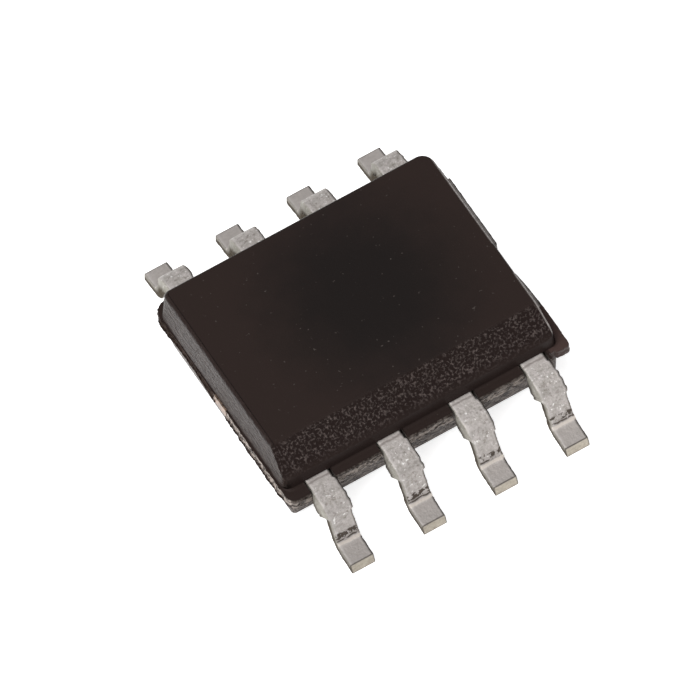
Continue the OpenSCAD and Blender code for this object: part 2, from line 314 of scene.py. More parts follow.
def wander(places, seed, size):
    """Smooth random wave along places: random heights from -1 to 1 at steps of size, joined by
    half waves of a cosine. The same seed always gives the same wave."""
    rng = np.random.default_rng(seed)
    steps = np.asarray(places, float) / size + 5000.0
    low = np.floor(steps).astype(int)
    heights = rng.uniform(-1, 1, 10007)
    ease = (1 - np.cos(np.pi * (steps - low))) / 2
    return heights[low % 10007] * (1 - ease) + heights[(low + 1) % 10007] * ease


def rise(value, start, width):
    """0 up to start, then in a straight line to 1 over width."""
    return np.clip((value - start) / width, 0, 1)


def fall(value, end, width):
    """1, then in a straight line to 0 over the width before end."""
    return np.clip((end - value) / width, 0, 1)


def gull_path():
    """Middle line of the bent sheet in Y and Z, from its inner tip to the cut end: a flat run,
    the shoulder arc, a straight slope, the heel arc and the straight foot. Both arcs have the
    radius BEND. Points lie close together where the stub starts and at the cut end. Gives the
    points, the unit normals on the top side, and the length measured from the body's side."""
    turn = np.radians(np.linspace(90, LEAN, 26))
    shoulder = np.stack([SHOULDER[0] + BEND * np.cos(turn), SHOULDER[1] + BEND * np.sin(turn)], 1)
    over = np.radians(np.linspace(180 + LEAN, 270 - FOOT_TILT, 24))
    heel = np.stack([HEEL[0] + BEND * np.cos(over), HEEL[1] + BEND * np.sin(over)], 1)
    flat_y = np.concatenate([np.linspace(INNER_TIP, 1.85, 40), np.linspace(1.87, DAM - 0.004, 13),
                             [DAM - 0.001], np.linspace(DAM + 0.002, SHOULDER[0], 12)[:-1]])
    flat = np.stack([flat_y, np.full(len(flat_y), SHEET_MIDDLE)], 1)
    share = np.linspace(0, 1, 26)[1:-1, None]
    slope = shoulder[-1] * (1 - share) + heel[0] * share
    tilt = math.radians(FOOT_TILT)
    ahead = np.array([math.cos(tilt), -math.sin(tilt)])
    reach = np.concatenate([np.linspace(0, FOOT_LENGTH - 0.02, 20)[1:],
                            FOOT_LENGTH - np.array([0.012, 0.006, 0.002, 0.0])])
    foot = heel[-1] + reach[:, None] * ahead
    path = np.concatenate([flat, shoulder, slope, heel, foot])
    along = np.concatenate([[0], np.cumsum(np.hypot(*np.diff(path, axis=0).T))])
    along = along + INNER_TIP - BODY_SIDE
    grade = np.gradient(path, axis=0)
    grade /= np.hypot(*grade.T)[:, None]
    grade[-5:] = ahead
    return path, np.stack([-grade[:, 1], grade[:, 0]], 1), along


PATH, PATH_UP, ALONG = gull_path()
SHOULDER_LOW = SHOULDER[1] + BEND * math.sin(math.radians(LEAN))
SHOULDER_END = float(ALONG[np.argmin(np.abs(PATH[:, 1] - SHOULDER_LOW))])
HEEL_START = SHOULDER_END + SLOPE_LENGTH
STUB_START = DAM - BODY_SIDE
TOE = float(ALONG[-1])


def section():
    """Outline of the sheet with rounded edges, as four shares a point: how much of the half
    width and of the edge radius it stands out sideways, and the same upwards. It runs along
    the top, down one side, back underneath and up the other side."""
    arc = np.radians(np.linspace(0, 90, EDGE_POINTS + 2))[1:-1]
    top, side = np.linspace(-1, 1, TOP_POINTS), np.linspace(1, -1, SIDE_POINTS)
    top_one, top_none = np.ones(TOP_POINTS), np.zeros(TOP_POINTS)
    side_one, side_none = np.ones(SIDE_POINTS), np.zeros(SIDE_POINTS)
    one = np.ones(EDGE_POINTS)
    parts = [(top, top_none, top_one, top_one),
             (one, np.sin(arc), one, np.cos(arc)),
             (side_one, side_one, side, side_none),
             (one, np.cos(arc), -one, -np.sin(arc)),
             (-top, top_none, -top_one, -top_one),
             (-one, -np.sin(arc), -one, -np.cos(arc)),
             (-side_one, -side_one, -side, side_none),
             (-one, -np.cos(arc), one, np.sin(arc))]
    return [np.concatenate([part[k] for part in parts]) for k in range(4)]


SHARE_X, ROUND_X, SHARE_UP, ROUND_UP = section()
FLANK = np.abs(ROUND_X)


def lead_edges(centre, corner, side, seed):
    """Left and right edge of the sheet at each place along the path, and how far the cut stub
    of the dam bar stands out past each. Inside the body the edges follow the land that takes
    the wire: straight lines between the tip, the neck and the outside. The stub runs from the
    dam line to the end of the shoulder, wide on one side."""
    y = PATH[:, 0]
    near, far = abs(centre) - LEAD_WIDTH / 2, abs(centre) + LEAD_WIDTH / 2
    if corner:
        (inner_y, inner_x), (outer_y, outer_x) = CORNER_LAND
        inner = np.interp(y, [inner_y, NECK[0]], [inner_x, near])
        outer = np.interp(y, [INNER_TIP, outer_y], [outer_x, far])
    else:
        inner = np.interp(y, NECK, [abs(centre) - LAND_HALF, near])
        outer = np.interp(y, NECK, [abs(centre) + LAND_HALF, far])
    left, right = (inner, outer) if centre > 0 else (-outer, -inner)
    wide = STUB_WIDE * rise(ALONG, STUB_START + 0.03, 0.16) ** 0.7
    wide = wide * fall(ALONG, SHOULDER_END + 0.03, 0.035) * (1 + 0.14 * wander(ALONG, seed, 0.05))
    slim = STUB_SLIM * rise(ALONG, STUB_START, 0.004)
    slim = slim * fall(ALONG, SHOULDER_END + 0.02, 0.02) * (1 + 0.3 * wander(ALONG, seed + 1, 0.05))
    left_out, right_out = (wide, slim) if side > 0 else (slim, wide)
    waist = SLOPE_WAIST * rise(ALONG, SHOULDER_END, 0.05) * fall(ALONG, HEEL_START, 0.05)
    return left + waist, right - waist, left_out, right_out


def lead_points(left, right, left_out, right_out, side, seed):
    """Each point is the path's point, moved sideways by its shares of the half width and of the
    edge radius, and along the path's normal by its shares of the half thickness and of the
    radius. The flanks wander, the stubs stand out furthest at their lower side, and the cut
    end slopes back to its top edge."""
    pull = np.zeros(len(ALONG))
    pull[[0, -1]] = END_DRAWN_IN
    pull[[1, -2]] = NEXT_DRAWN_IN
    half, thick = (right - left) / 2 - pull, SHEET / 2 - pull
    edge = np.maximum(EDGE_RADIUS - pull, 0.004)
    sideways = (half - edge)[:, None] * SHARE_X + edge[:, None] * ROUND_X
    upwards = (thick - edge)[:, None] * SHARE_UP + edge[:, None] * ROUND_UP
    ragged = wander(ALONG, seed + 2, 0.03) * RAGGED_FINE + wander(ALONG, seed + 3, 0.11) * RAGGED_LONG
    outside = (ALONG > 0.02) & (ALONG < TOE - 0.02)
    sideways = sideways + np.sign(SHARE_X) * FLANK * (ragged * outside)[:, None]
    burred = STUB_TOP + (1 - STUB_TOP) * (1 - SHARE_UP) / 2
    even = np.ones(len(burred))
    burr_left, burr_right = (burred, even) if side > 0 else (even, burred)
    sideways = sideways + right_out[:, None] * burr_right * (1 + SHARE_X) / 2
    sideways = sideways - left_out[:, None] * burr_left * (1 - SHARE_X) / 2
    tilt = math.radians(FOOT_TILT)
    back = CUT_BACK * (1 + SHARE_UP) / 2 * rise(ALONG, TOE - 0.16, 0.16)[:, None]
    x = ((right + left) / 2)[:, None] + sideways
    y = PATH[:, :1] + upwards * PATH_UP[:, :1] - back * math.cos(tilt)
    z = PATH[:, 1:] + upwards * PATH_UP[:, 1:] + back * math.sin(tilt)
    return np.stack([x, y, z], -1)


def lead_marks(x, side):
    """Where the finish changes. along is the length from the body's side; flank is 1 on the
    sheared sides and top is 1 on the upper face; dark_edge is 1 where an edge is tarnished and
    darkened by painted shade, most on one side and round the cut end, and light_edge is 1 where
    an upper edge carries a painted highlight; tone is painted shade, less on the foot, on the
    shoulder and in the far row; cut is 1 on the bare end."""
    along = ALONG[:, None]
    east = np.sign(SHARE_X) * side
    upper_edge = (FLANK < 0.3) * (SHARE_UP > 0)
    rim = rise(np.abs(SHARE_X), 0.93, 0.07) * upper_edge
    # Tarnished edges with painted shade: the flanks darken, fully on one side and low on the other, and
    # a dark outline runs round the cut end.
    east_dark = np.clip(FLANK * (1 + SHARE_UP) * 1.2 + 0.6 * rim, 0, 1)
    west_dark = np.clip(FLANK * (0.1 + 1.1 * rise(along, SHOULDER_END, 0.05) - SHARE_UP), 0, 1)
    dark = np.maximum(np.where(east > 0, east_dark, west_dark), 0.85 * rise(along, TOE - 0.026, 0.012))
    # Painted shade: the feet, the shoulder and the far row are darker, and the near row darker towards
    # one end.
    foot_start = HEEL_START + 0.12
    zone = 1 - FOOT_SHADE[side] * rise(along, foot_start, 0.05)
    zone = zone - SHOULDER_SHADE * rise(along, 0.25, 0.2) * (along < foot_start)
    row_shade = 0.97 - 0.03 * x if side < 0 else 0.93
    everywhere = np.ones(x.shape)
    return {"along": along * everywhere,
            "flank": FLANK * everywhere,
            "dark_edge": dark * everywhere,
            "light_edge": rise(np.abs(SHARE_X), 0.8, 0.2) * upper_edge * everywhere,
            "tone": zone * row_shade * everywhere,
            "top": np.clip(SHARE_UP * (1 - FLANK) * 4, 0, 1) * everywhere,
            "cut": 0.0 * everywhere}


def lead(n):
    """Lead n, closed at its cut end by one more ring, drawn in towards its middle by CUT_FACE,
    so that the bare face keeps a dark outline, tarnished and darkened by painted shade. Leads 1
    to 4 are the same shape turned half round to the near side."""
    i = (n - 1) % 4
    side = -1 if n <= 4 else 1
    seed = 100 * n
    edges = lead_edges(PITCH * (1.5 - i), i in (0, 3), side, seed)
    rings = lead_points(*edges, side, seed)
    marks = lead_marks(rings[..., 0], side)
    if side < 0:
        rings = rings * [-1, -1, 1]
    middle = rings[-1:].mean(1, keepdims=True)
    rings = np.concatenate([rings, middle + (rings[-1:] - middle) * CUT_FACE])
    marks = {name: np.concatenate([values, values[-1:]]) for name, values in marks.items()}
    marks["dark_edge"][-1] = 0.0
    marks["cut"][-1] = 1.0
    return skin(f"gull_lead_{n}", rings, marks)


def mark(tree, name, at):
    """Value of one of the piece's own attributes."""
    return add(tree, "ShaderNodeAttribute", at, attribute_name=name).outputs["Fac"]


def combine(tree, operation, a, b, at, c=None):
    """Math node on two or three values, each of them a number or a socket."""
    made = add(tree, "ShaderNodeMath", at, operation=operation)
    for value, socket in zip((a, b, c), made.inputs):
        if isinstance(value, float):
            socket.default_value = value
        elif value is not None:
            tree.links.new(value, socket)
    return made.outputs[0]


def product(tree, a, b, at):
    """a times b."""
    return combine(tree, "MULTIPLY", a, b, at)


def noise(tree, where, at, **values):
    """Plain noise at the coordinates where, about 0.3 to 0.7."""
    made = add(tree, "ShaderNodeTexNoise", at, **values)
    tree.links.new(where, made.inputs["Vector"])
    return made.outputs["Fac"]


def band(tree, value, start, end, soft, at):
    """1 where value lies between start and end, with soft edges: the product of two ramps."""
    up = ramp(tree, value, at, From_Min=start - soft, From_Max=start + soft)
    down = ramp(tree, value, (at[0], at[1] - 250), From_Min=end - soft, From_Max=end + soft,
                To_Min=1.0, To_Max=0.0)
    return product(tree, up, down, (at[0] + 200, at[1]))


def layers(tree, colour, coats, at):
    """Lays coats over a colour in turn, each a mask and the colour that shows where it is 1."""
    for step, (mask, coat_colour) in enumerate(coats):
        colour = two_tone(tree, mask, colour, coat_colour, (at[0] + 120 * step, at[1]))
    return colour


def tin_finish():
    """Matte tin over copper: a pale warm grey, clouded where it was bent and plain where it is
    flat, with painted highlights as pale glints and with small pits on the shoulder, painted
    highlights on the upper edges, sheared edges that are tarnished and darkened by painted shade,
    a dark cracked line where the forming tool pinched the slope, a paler band under it, a faint
    line from the tool near the body, and a bare cut end, all scaled by painted shade."""
    made, tree, shader, where = blank("matte tin")
    link = tree.links.new
    along = mark(tree, "along", (-1600, -300))
    top = mark(tree, "top", (-1600, -1150))
    offset = add(tree, "ShaderNodeMapping", (-1250, -250), Location=(0.013, 0.007, 0.011))
    link(where, offset.inputs["Vector"])
    aside = offset.outputs["Vector"]
    cloud = use(tree, MOTTLE, where, (-1100, 200), Coarse=8000.0, Fine=22000.0, Share=0.55)
    grains = use(tree, SPECKS, where, (-1100, -50), Scale=15000.0, Level=0.62)
    pits = use(tree, SPECKS, aside, (-1100, -250), Scale=17000.0, Level=0.58)

    bend = band(tree, along, STUB_START, HEEL_START - 0.02, 0.08, (-1100, -500))
    flat = two_tone(tree, cloud, *TIN_FLAT, (-800, 350))
    bent = two_tone(tree, cloud, *TIN_BENT, (-800, 150))
    # Painted highlights: pale glints on the grains of the bent part.
    painted_glint = product(tree, grains, bend, (-800, -100))
    pitted = product(tree, product(tree, pits, bend, (-950, -250)), 0.4, (-800, -250))
    side = product(tree, mark(tree, "flank", (-1600, -700)), 0.6, (-1100, -800))
    # Painted highlight along the upper edges.
    edge_highlight = product(tree, mark(tree, "light_edge", (-1600, -800)), 0.55, (-1100, -900))
    # Tarnished edges darkened by painted shade, with the dark outline round the cut end.
    tarnish_and_shade = product(tree, mark(tree, "dark_edge", (-1600, -900)), 0.9, (-1100, -1000))

    wave = noise(tree, where, (-1400, -950), Scale=9000.0, Detail=2.0)
    waved = combine(tree, "MULTIPLY_ADD", wave, 0.06, (-1200, -950), along)
    cracks = band(tree, waved, HEEL_START - 0.135, HEEL_START - 0.03, 0.014, (-1000, -950))
    broken = use(tree, SPECKS, aside, (-1000, -1100), Scale=15000.0, Level=0.45)
    cracks = product(tree, cracks, broken, (-800, -1050))
    line = band(tree, waved, HEEL_START - 0.018, HEEL_START + 0.014, 0.010, (-1000, -1600))
    worn = use(tree, SPECKS, aside, (-1000, -1400), Scale=9000.0, Level=0.40)
    line = product(tree, line, worn, (-800, -1500))
    cracks = combine(tree, "MAXIMUM", cracks, line, (-750, -1200))
    cracks = product(tree, product(tree, cracks, top, (-700, -950)), 0.95, (-600, -950))
    pale_band = band(tree, waved, HEEL_START + 0.04, HEEL_START + 0.145, 0.016, (-1000, -1300))
    pale_band = product(tree, pale_band, top, (-700, -1300))
    pressed = band(tree, waved, 0.08, 0.115, 0.010, (-1000, -1800))
    pressed = product(tree, product(tree, pressed, top, (-800, -1800)), 0.55, (-700, -1800))
    sheared = two_tone(tree, cloud, *SHEARED, (50, 550))

    colour = layers(tree, flat, [(bend, bent), (painted_glint, TIN_PAINTED_GLINT), (pitted, TIN_PIT), (side, TIN_FLANK),
                                 (edge_highlight, TIN_EDGE_HIGHLIGHT), (tarnish_and_shade, TARNISH_AND_EDGE_SHADE), (pale_band, TIN_PALE_BAND),
                                 (cracks, CRACKED), (pressed, TOOL_LINE),
                                 (mark(tree, "cut", (-1600, -1500)), sheared)], (-600, 350))
    # The colour is scaled by tone, which is painted shade.
    toned = add(tree, "ShaderNodeVectorMath", (650, 350), operation="SCALE")
    link(colour, toned.inputs[0])
    link(mark(tree, "tone", (450, 100)), toned.inputs["Scale"])
    link(toned.outputs["Vector"], shader.inputs["Base Color"])
    link(ramp(tree, cloud, (-500, -150), To_Min=0.34, To_Max=0.55), shader.inputs["Roughness"])
    link(ramp(tree, tarnish_and_shade, (-500, -400), To_Min=0.25, To_Max=1.0), shader.inputs["Metallic"])
    shader.inputs["Specular Tint"].default_value = (0.4, 0.38, 0.35, 1)
    relief(tree, shader, cloud, 7e-6)
    shader.location = (850, 200)
    return made


tin = tin_finish()
for n in range(1, 9):
    piece = lead(n)
    piece.data.materials.append(tin)
    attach(piece, "root")
    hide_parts(f"lead_{n}")


# ---- Body ----
# Black epoxy is moulded round the lead frame in one shot. Its walls are drafted, one top edge
# is bevelled to mark the side of lead 1, and broken flash stands out at the parting line.

# The skin is a grid: columns run round the body, rings run from its underside over the flash to
# its top. LOWER, WALL and FACE say whether a ring belongs to the lower half and the flash, to
# the upper wall or to the top face.
HALF_LENGTH, HALF_WIDTH = 2.45, 1.95     # of the walls at the parting line
UNDERSIDE, FLASH_LOW, FLASH_HIGH, TOP = 0.15, 0.8, 1.0, 1.6
CORNERS = {(1, 1): 0.32, (-1, 1): 0.18, (-1, -1): 0.15, (1, -1): 0.18}
INSET = 0.25                             # from a straight wall in to the anchors of its columns
RIGHT_IN, LEFT_OUT, FAR_OUT = 0.06, 0.022, 0.008
DRAFT = 9.0
RIGHT_STEEPER, LOW_SIDES_STEEPER = 3.5, 2.5
EDGE = 0.05                              # radius of the top and bottom edges
BEVEL_FOOT, BEVEL_RUN = -1.918, 0.463    # Y of the bevel's lower edge, and its depth
BEVEL_LOW, BEVEL_RISE = 1.2, 0.4         # the same for its height
LIP = 0.027                              # more flash below the line at the left end
LEAD_GAP = 0.03
SLIVER = 0.035                           # strip of flash left beside lead 4
TIE_BAR_HALF = 0.175
SLIT, TIE_BAR_SLIT = -0.05, -0.012       # reach of the flash where metal passes through it
SLIT_BELOW, SLIT_ABOVE = -0.015, 0.02    # how far it stands clear of that metal
LEADS_AT = PITCH * np.array([-1.5, -0.5, 0.5, 1.5])
COLUMN_STEP = 0.02
CORNER_COLUMNS = 22
LOWER, WALL, FACE = 0, 1, 2
UNDERSIDE_SHARES = (0.04, 0.4, 0.75, 0.96)
FLASH_SHARES, FLASH_TIP = (0, 0.3, 0.6, 0.85), 0.96
CREASE_SHARES = (0.86, 0.845, 0.832, 0.822, 0.815, 0.809, 0.804, 0.799, 0.793, 0.785, 0.775, 0.76)
TOP_SHARES = (0.996, 0.99, 0.98, 0.96, 0.94, 0.92, 0.90, 0.88, *CREASE_SHARES, 0.74, 0.7, 0.6, 0.3, 0.04)

RESIN_MIDDLE, RESIN_RIM, FILLER = (0.0130, 0.0105, 0.0100), (0.0250, 0.0170, 0.0150), (0.06, 0.05, 0.046)
# On the next line the second colour is a painted highlight on the bevel's pebbles.
PEBBLE_LOW, PEBBLE_HIGHLIGHT = (0.0170, 0.0112, 0.0100), (0.100, 0.078, 0.072)
# On the next line the first colour is painted shade on the near upper wall, and the second a painted
# highlight along the right end's top edge and the flash's ledge.
NEAR_WALL_SHADE, RESIN_EDGE_HIGHLIGHT = (0.022, 0.0145, 0.0130), (0.36, 0.33, 0.315)
CHIP_DARK, CHIP_PALE = (0.024, 0.017, 0.014), (0.52, 0.45, 0.40)
GREY_MOTTLE, CLEAN_BREAK = (0.42, 0.36, 0.32), (0.058, 0.037, 0.033)
DARK_CENTRE, DARK_REACH = (0.00025, 0.00015), (0.0013, 0.0015)   # in metres


def stations(start, end, breaks):
    """Places from start to end at even steps, with two close together at each break."""
    even = np.linspace(start, end, int(round((end - start) / COLUMN_STEP)) + 1)
    breaks = np.asarray(breaks)
    clear = np.abs(even[:, None] - breaks).min(1) > 0.006
    pairs = np.concatenate([breaks - 0.002, breaks + 0.002])
    return np.sort(np.concatenate([even[clear], pairs]))


def steps(place, edges, values):
    """Value of each stretch between the edges, in order along place."""
    return np.asarray(values, float)[np.searchsorted(np.asarray(edges), place)]


def corner_line(size, reach_x, reach_y, radius):
    """Outer line of the flash round a corner whose body radius is size, from the end of the
    long side to the start of the short one: a straight run, an arc and a straight run,
    resampled at even lengths. It is worked out in the +X +Y quarter."""
    x1, y1 = HALF_LENGTH + reach_x, HALF_WIDTH + reach_y
    turn = np.radians(np.linspace(90, 0, 13))
    line = np.concatenate([[[HALF_LENGTH - size, y1]],
                           np.stack([x1 - radius + radius * np.cos(turn),
                                     y1 - radius + radius * np.sin(turn)], 1),
                           [[x1, HALF_WIDTH - size]]])
    length = np.concatenate([[0], np.cumsum(np.hypot(*np.diff(line, axis=0).T))])
    want = np.linspace(0, length[-1], CORNER_COLUMNS + 2)[1:-1]
    return np.stack([np.interp(want, length, line[:, 0]), np.interp(want, length, line[:, 1])], 1)


def straight(way, place, reach):
    """Columns of one straight side that faces way: place runs along it, and reach is how far
    the flash stands out, below 0 where sheet metal passes through the wall."""
    way = np.array(way, float)
    across = np.abs(way[::-1])
    anchor = way * (HALF_LENGTH - INSET, HALF_WIDTH - INSET) + place[:, None] * across
    target = way * (HALF_LENGTH, HALF_WIDTH) + reach[:, None] * way + place[:, None] * across
    facing = np.broadcast_to(way, anchor.shape)
    return anchor, facing, target, (reach < 0) * 1.0, np.full(len(place), INSET)


def corner(sx, sy, reach_x, reach_y, radius):
    """Columns of the corner in the quarter of the signs sx and sy, fanned out from its axis."""
    size = CORNERS[sx, sy]
    line = corner_line(size, reach_x, reach_y, radius)
    turn = np.radians(np.linspace(90, 0, len(line) + 2))[1:-1]
    way = np.stack([np.cos(turn), np.sin(turn)], 1)
    if sx * sy > 0:
        line, way = line[::-1], way[::-1]
    anchor = np.broadcast_to([sx * (HALF_LENGTH - size), sy * (HALF_WIDTH - size)], line.shape)
    return anchor, way * [sx, sy], line * [sx, sy], np.zeros(len(line)), np.full(len(line), size)


def ends(half, first, last):
    """Where a straight side starts and stops: at the two corners that it joins."""
    return -half + CORNERS[first], half - CORNERS[last]


def outline():
    """Columns of the body's skin, counterclockwise from above. Each has its anchor, its
    direction outwards, the point that the flash reaches there, slot, which is 1 where sheet
    metal passes through the wall, and the distance from the anchor to the foot of the wall.
    The lists of reaches give, for each stretch of a side, how far the flash stands out."""
    gap = LEAD_WIDTH / 2 + LEAD_GAP
    lead_breaks = np.sort(np.concatenate([LEADS_AT - gap, LEADS_AT + gap]))

    # The right end is torn in steps and runs out towards the near corner.
    right_breaks = [-0.47, -TIE_BAR_HALF, TIE_BAR_HALF, 1.6]
    right_y = stations(*ends(HALF_WIDTH, (1, -1), (1, 1)), right_breaks)
    right = steps(right_y, right_breaks, [0.04, 0.012, TIE_BAR_SLIT, 0.078, 0.045])
    right = right + 0.03 * fall(right_y, -0.47, 0.28) + 0.022 * fall(right_y, -0.8, 0.45)

    # The far side keeps its webs between the leads.
    far_x = stations(*ends(HALF_LENGTH, (-1, 1), (1, 1)), lead_breaks)[::-1]
    far = steps(far_x, lead_breaks, [0.17, SLIT, 0.16, SLIT, 0.165, SLIT, 0.16, SLIT, 0.17])

    # The left end grows a little towards both corners.
    left_breaks = [-TIE_BAR_HALF, TIE_BAR_HALF]
    left_y = stations(*ends(HALF_WIDTH, (-1, -1), (-1, 1)), [*left_breaks, 1.45])[::-1]
    left = steps(left_y, left_breaks, [0.03, TIE_BAR_SLIT, 0.03]) + 0.015 * rise(left_y, 1.3, 0.4)
    left = left + np.where(left > 0, 0.017 * np.clip(0.8 - left_y, 0, 1.8), 0)

    # The near side stands out furthest beside lead 1, and has broken away beside lead 4.
    near_breaks = np.append(lead_breaks, LEADS_AT[3] + gap + SLIVER)
    near_x = stations(*ends(HALF_LENGTH, (-1, -1), (1, -1)), near_breaks)
    near = steps(near_x, near_breaks, [0.26, SLIT, 0.185, SLIT, 0.19, SLIT, 0.185, SLIT, 0.19, 0.07])

    columns = [straight([1, 0], right_y, right), corner(1, 1, 0.04, 0.16, 0.30),
               straight([0, 1], far_x, far), corner(-1, 1, 0.045, 0.16, 0.24),
               straight([-1, 0], left_y, left), corner(-1, -1, 0.055, 0.25, 0.14),
               straight([0, -1], near_x, near), corner(1, -1, 0.085, 0.10, 0.06)]
    return [np.concatenate(part) for part in zip(*columns)]


def wall(foot, lean, edge, depth, rows):
    """One drafted wall with its rounded edge: reach from the corner axis and height from the
    parting line, for each ring and column. A straight run leans in from the foot, then a
    quarter turn less the lean brings it to the flat face."""
    centre_z = depth - edge
    centre_r = foot - centre_z * np.tan(lean) - edge / np.cos(lean)
    turn = lean + np.linspace(0, 1, 8)[:, None] * (math.pi / 2 - lean)
    top_z = centre_z + edge * np.sin(lean)
    straight_z = np.linspace(0, 1, rows)[1:-1, None] * top_z
    return (np.concatenate([foot - straight_z * np.tan(lean), centre_r + edge * np.cos(turn)]),
            np.concatenate([straight_z, centre_z + edge * np.sin(turn)]))


def body_rings(anchor, way, target, slot, size, around):
    """Rings from the middle of the underside, out and up the lower wall, round the flash, up
    the upper wall and in to the middle of the top. A wall's point is its anchor plus its reach
    in the column's direction; a flash point lies a share of the way from the wall's foot to
    the flash's ragged edge; a flat point lies a share of the way from the origin to the rim.
    Gives each point's X and Y, its height, whether it lies on the broken edge, and the part."""
    east, west = np.clip(way[:, 0], 0, 1) ** 2, np.clip(-way[:, 0], 0, 1) ** 2
    north = np.clip(way[:, 1], 0, 1) ** 2
    foot = size - RIGHT_IN * east + LEFT_OUT * west + FAR_OUT * north
    low_lean = np.radians(DRAFT - LOW_SIDES_STEEPER * (1 - east - west))
    top_lean = np.radians(DRAFT - RIGHT_STEEPER * east)
    low_r, low_z = wall(foot, low_lean, EDGE, FLASH_LOW - UNDERSIDE, 17)
    top_r, top_z = wall(foot, top_lean, EDGE + 0.01 * west, TOP - FLASH_HIGH, 31)
    base = anchor + way * foot[:, None]
    low_rim, top_rim = anchor + way * low_r[-1][:, None], anchor + way * top_r[-1][:, None]
    outward = (target - base) / np.maximum(np.hypot(*(target - base).T), 0.02)[:, None]
    whole, smoother = 1 - slot, 1 - 0.7 * east
    ragged = (0.008 * wander(around, 11, 0.045) + 0.006 * wander(around, 12, 0.018)) * whole * smoother
    rings = []

    def ring(xy, z, worn, part):
        """One more ring: five values for each column, where z, worn and part may be the same."""
        rings.append([np.broadcast_to(value, len(xy)) for value in (xy[:, 0], xy[:, 1], z, worn, part)])

    for share in UNDERSIDE_SHARES:
        ring(low_rim * share, UNDERSIDE, 0.0, LOWER)
    for r, z in zip(low_r[::-1], low_z[::-1]):
        ring(anchor + way * r[:, None], FLASH_LOW - z, 0.0, LOWER)
    flash_rows = [(share, FLASH_LOW) for share in FLASH_SHARES] + [(FLASH_TIP, 0.803)]
    flash_rows += [(1, z) for z in (0.815, 0.84, 0.865, 0.89, 0.915, 0.94, 0.965, 0.985)]
    flash_rows += [(FLASH_TIP, 0.997)] + [(share, FLASH_HIGH) for share in FLASH_SHARES[::-1]]
    for k, (share, z) in enumerate(flash_rows):
        outer = share >= FLASH_TIP
        rough = (ragged + 0.008 * wander(around, 40 + k, 0.04) * whole * smoother) * outer
        lip = LIP * west * (z < 0.88) * whole
        edge = target + outward * (rough + lip)[:, None]
        opening = SLIT_BELOW if z < SHEET_MIDDLE else SLIT_ABOVE
        ring(base * (1 - share) + edge * share, z + opening * slot, outer * whole, LOWER)
    for r, z in zip(top_r, top_z):
        ring(anchor + way * r[:, None], FLASH_HIGH + z, 0.0, WALL)
    for share in TOP_SHARES:
        ring(top_rim * share, TOP, 0.0, FACE)
    x, y, z, worn, part = np.moveaxis(np.array(rings), 1, 0)
    return x, y, z, worn, part


def body_skin():
    """The rings, with the bevel cut into the upper half: there each height becomes the smaller
    of itself and the bevel's plane, eased over the length soft by the logarithm of the sum of
    their exponentials. Then come the marks that the finish follows."""
    anchor, way, target, slot, size = outline()
    around = np.concatenate([[0], np.cumsum(np.hypot(*np.diff(target, axis=0).T))])
    x, y, z, worn, part = body_rings(anchor, way, target, slot, size, around)
    south, west = np.clip(-way[:, 1], 0, 1) ** 2, np.clip(-way[:, 0], 0, 1) ** 2
    at_corner = south * np.clip(np.abs(way[:, 0]), 0, 1) ** 2
    up_bevel = (y - BEVEL_FOOT) / BEVEL_RUN
    plane = BEVEL_LOW + up_bevel * BEVEL_RISE
    soft = 0.006 + (0.008 * south + 0.12 * at_corner) * (part == WALL)
    lowered = -soft * np.logaddexp(-z / soft, -plane / soft)
    bevel = rise(z, plane, 0.01) * (part > LOWER)
    z = np.where((part > LOWER) & (plane < z + 0.1), lowered, z)

    # The lower wall is mottled grey; at the left end the upper one is too, faintly, above the flash.
    low_wall = fall(z, FLASH_LOW, 0.02) * (z > UNDERSIDE + 0.01)
    side_wall = (part == WALL) * (1 - bevel)
    grey_mottle = 0.45 * low_wall + 0.10 * side_wall * west * (z < 1.54)

    # The broken flash is pale; at the near part of the left end it also carries a painted highlight, and
    # is dull in the far part.
    # Beside lead 4 it came away whole, so that corner is plain brown resin.
    near_right = (x > 2.2) & (y < -1.2) & (part == LOWER) & (z > FLASH_LOW - 0.01)
    painted_glint = np.where(anchor[:, 1] < 0.15 + 0.3 * wander(around, 13, 0.2), 1.0, 0.12)
    left_pale = np.where(z > 0.87, painted_glint, 0.05)
    pale = np.where(west > 0.3, left_pale, np.where(z > 0.945, 0.2, 0.62))
    lip_shade = np.where(z < 0.885, 1, 1 - painted_glint)
    outer_lip = west * (part == LOWER) * (z > FLASH_LOW + 0.005) * (worn > 0) * lip_shade
    turned = side_wall * np.clip(4 * at_corner, 0, 1)

    # Painted highlight along the right end's top edge and along the ledge of the flash.
    edge_at = 2.39 - 0.0963 * (z - FLASH_HIGH)
    edge_highlight = rise(x, edge_at - 0.030, 0.012) * (part > LOWER) * ((y < -0.8) | (y > -0.15))
    edge_highlight = edge_highlight * (z > np.minimum(TOP, plane) - 0.03) * (z > 1.22)
    ledge = rise(x, 2.45, 0.01) * fall(x, 2.515, 0.006) * (part == LOWER)
    edge_highlight = np.maximum(edge_highlight, ledge * (z > 0.985) * (y > -1.2) * (y < 1.7))
    # near_wall below carries painted shade on the near upper wall.
    return skin("moulded_body", np.stack([x, y, z], -1), {
        "broken": np.where(near_right, 0.0, worn),
        "grain": bevel * np.clip(up_bevel * 3.0 + 0.25, 0, 1) * fall(up_bevel, 1.04, 0.12),
        "pale": np.where(near_right, 0.0, pale),
        "wall": np.maximum(low_wall, side_wall * west),
        "near_wall": side_wall * south,
        "dull": np.maximum(turned, outer_lip),
        "edge_highlight": edge_highlight * (0.8 + 0.2 * wander(y, 60, 0.06)),
        "grey_mottle": grey_mottle,
        "brown": near_right * 1.0,
        "run": np.broadcast_to(around * MM, z.shape)})


